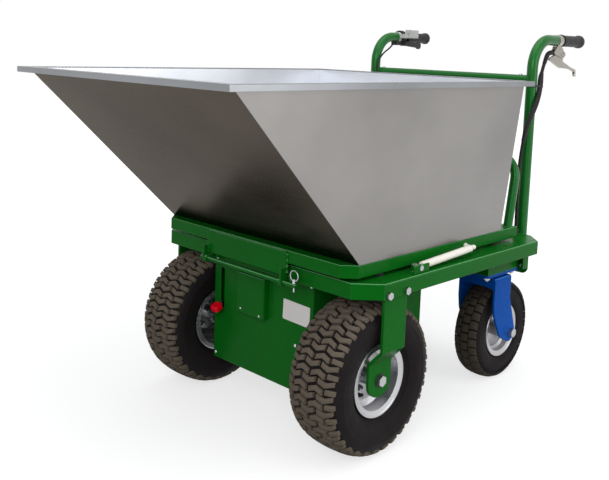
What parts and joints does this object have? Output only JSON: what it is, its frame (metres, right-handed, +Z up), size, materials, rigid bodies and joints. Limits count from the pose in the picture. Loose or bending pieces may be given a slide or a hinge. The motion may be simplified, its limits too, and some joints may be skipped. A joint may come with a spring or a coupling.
{
  "type": "electric wheelbarrow",
  "caption": "Battery-driven tipping wheelbarrow: stainless hopper hinged on a green steel chassis with front drive wheels, rear swivel casters and upright handlebars.",
  "frame": {"origin": "centre of the bounding box in plan, on the ground", "axes": "+Z up, +Y towards the handlebars (rear), +X the vehicle's left"},
  "size_m": [0.8112, 1.5414, 1.0485],
  "materials": {
    "green_paint": "gloss baked enamel",
    "blue_paint": "gloss enamel",
    "cream_paint": "gloss enamel",
    "stainless": "cold rolled, softly reflecting",
    "zinc": "bright zinc plate",
    "chrome": "hard chrome, polished",
    "polished_aluminium": "polished",
    "tyre": "dusty moulded rubber",
    "black_rubber": "matt moulded rubber",
    "black_plastic": "fine grained",
    "grey_plastic": "satin",
    "red_plastic": "gloss moulded",
    "bare_steel": "machined and oiled",
    "alloy_case": "finned casting"
  },
  "bodies": {
    "chassis": {"chassis_deck": "green_paint", "rear_apron": "green_paint", "caster_spacers": "green_paint", "caster_plates": "blue_paint", "wheel_struts": "green_paint", "strut_bolts": "zinc", "strut_bushes": "black_plastic", "casing_shell": "green_paint", "casing_front_panel": "green_paint", "access_cover": "green_paint", "batteries": "black_plastic", "motor_controller": "alloy_case", "gearbox": "bare_steel", "drive_motor": "bare_steel", "hinge_rod": "green_paint", "tip_buffers": "black_rubber", "spring_clevises": "green_paint", "clevis_bolts": "zinc", "left_handle_post": "green_paint", "right_handle_post": "green_paint", "handle_crossbar": "green_paint", "post_saddles": "zinc", "post_u_bolts": "zinc", "handle_grips": "black_rubber", "brake_perch": "polished_aluminium", "throttle_housing": "black_plastic", "switch_box": "grey_plastic", "brake_cable": "black_rubber", "throttle_cable": "black_rubber", "cable_glands": "black_plastic"},
    "hopper": {"hopper_floor": "stainless", "hopper_front_panel": "stainless", "hopper_rear_panel": "stainless", "hopper_side_panels": "stainless", "hopper_rim": "stainless", "tipping_frame_rails": "green_paint", "hinge_leaf": "green_paint", "rear_hoop": "green_paint"},
    "gas_rods": {"gas_rods": "chrome"},
    "gas_cylinders": {"gas_cylinders": "cream_paint"},
    "lynch_pin": {"lynch_pin": "zinc"},
    "release_lever": {"release_lever": "zinc", "release_knob": "red_plastic"},
    "brake_lever": {"brake_lever": "polished_aluminium"},
    "throttle_lever": {"throttle_lever": "black_plastic"},
    "switch_button": {"switch_button": "grey_plastic"},
    "left_drive_wheel": {"left_drive_tyre": "tyre", "left_drive_rim": "zinc", "left_half_shaft": "bare_steel"},
    "right_drive_wheel": {"right_drive_tyre": "tyre", "right_drive_rim": "zinc", "right_half_shaft": "bare_steel"},
    "left_caster_fork": {"left_caster_fork": "blue_paint", "left_caster_axle": "zinc"},
    "right_caster_fork": {"right_caster_fork": "blue_paint", "right_caster_axle": "zinc"},
    "left_caster_wheel": {"left_caster_rim": "zinc", "left_caster_tyre": "tyre"},
    "right_caster_wheel": {"right_caster_rim": "zinc", "right_caster_tyre": "tyre"}
  },
  "joints": [
    {"name": "hopper_tip", "type": "hinge", "parent": "chassis", "child": "hopper", "pos_m": [0, -0.36895, 0.408], "axis": [1, 0, 0], "range_deg": [0, 55]},
    {"name": "gas_rod_swing", "type": "hinge", "parent": "chassis", "child": "gas_rods", "pos_m": [0, -0.14295, 0.458], "axis": [1, 0, 0], "range_deg": [0, 88.5]},
    {"name": "gas_cylinder_slide", "type": "slide", "parent": "gas_rods", "child": "gas_cylinders", "axis": [0, 0.9987, 0.0501], "range_m": [0, 0.127]},
    {"name": "left_drive_spin", "type": "hinge", "parent": "chassis", "child": "left_drive_wheel", "pos_m": [0.2948, -0.23735, 0.1905], "axis": [1, 0, 0], "continuous": true},
    {"name": "left_caster_swivel", "type": "hinge", "parent": "chassis", "child": "left_caster_fork", "pos_m": [0.255, 0.35655, 0.33], "axis": [0, 0, 1], "continuous": true},
    {"name": "left_caster_spin", "type": "hinge", "parent": "left_caster_fork", "child": "left_caster_wheel", "pos_m": [0.255, 0.42055, 0.15], "axis": [1, 0, 0], "continuous": true},
    {"name": "right_drive_spin", "type": "hinge", "parent": "chassis", "child": "right_drive_wheel", "pos_m": [-0.2948, -0.23735, 0.1905], "axis": [1, 0, 0], "continuous": true},
    {"name": "right_caster_swivel", "type": "hinge", "parent": "chassis", "child": "right_caster_fork", "pos_m": [-0.255, 0.35655, 0.33], "axis": [0, 0, 1], "continuous": true},
    {"name": "right_caster_spin", "type": "hinge", "parent": "right_caster_fork", "child": "right_caster_wheel", "pos_m": [-0.255, 0.42055, 0.15], "axis": [1, 0, 0], "continuous": true},
    {"name": "brake_lever_pull", "type": "hinge", "parent": "chassis", "child": "brake_lever", "pos_m": [0.3, 0.65365, 0.98], "axis": [1, 0, 0], "range_deg": [0, 30], "stiffness_Nm_per_rad": 1.5, "springref_deg": -11.46},
    {"name": "throttle_press", "type": "hinge", "parent": "chassis", "child": "throttle_lever", "pos_m": [-0.276, 0.61965, 1], "axis": [-1, 0, 0], "range_deg": [0, 25], "stiffness_Nm_per_rad": 0.8, "springref_deg": -17.19},
    {"name": "switch_press", "type": "slide", "parent": "chassis", "child": "switch_button", "axis": [0, 1, 0], "range_m": [0, 0.0025], "stiffness_N_per_m": 800, "springref_m": -0.002},
    {"name": "release_lift", "type": "hinge", "parent": "chassis", "child": "release_lever", "pos_m": [-0.157, -0.21135, 0.308], "axis": [-1, 0, 0], "range_deg": [0, 45]},
    {"name": "lynch_pull", "type": "slide", "parent": "chassis", "child": "lynch_pin", "axis": [0, 0, 1], "range_m": [0, 0.03]}
  ],
  "couplings": [
    {"joint": "gas_rod_swing", "follows": "hopper_tip", "ratio": 1.6065},
    {"joint": "gas_cylinder_slide", "follows": "hopper_tip", "m_per_rad": 0.13192}
  ]
}
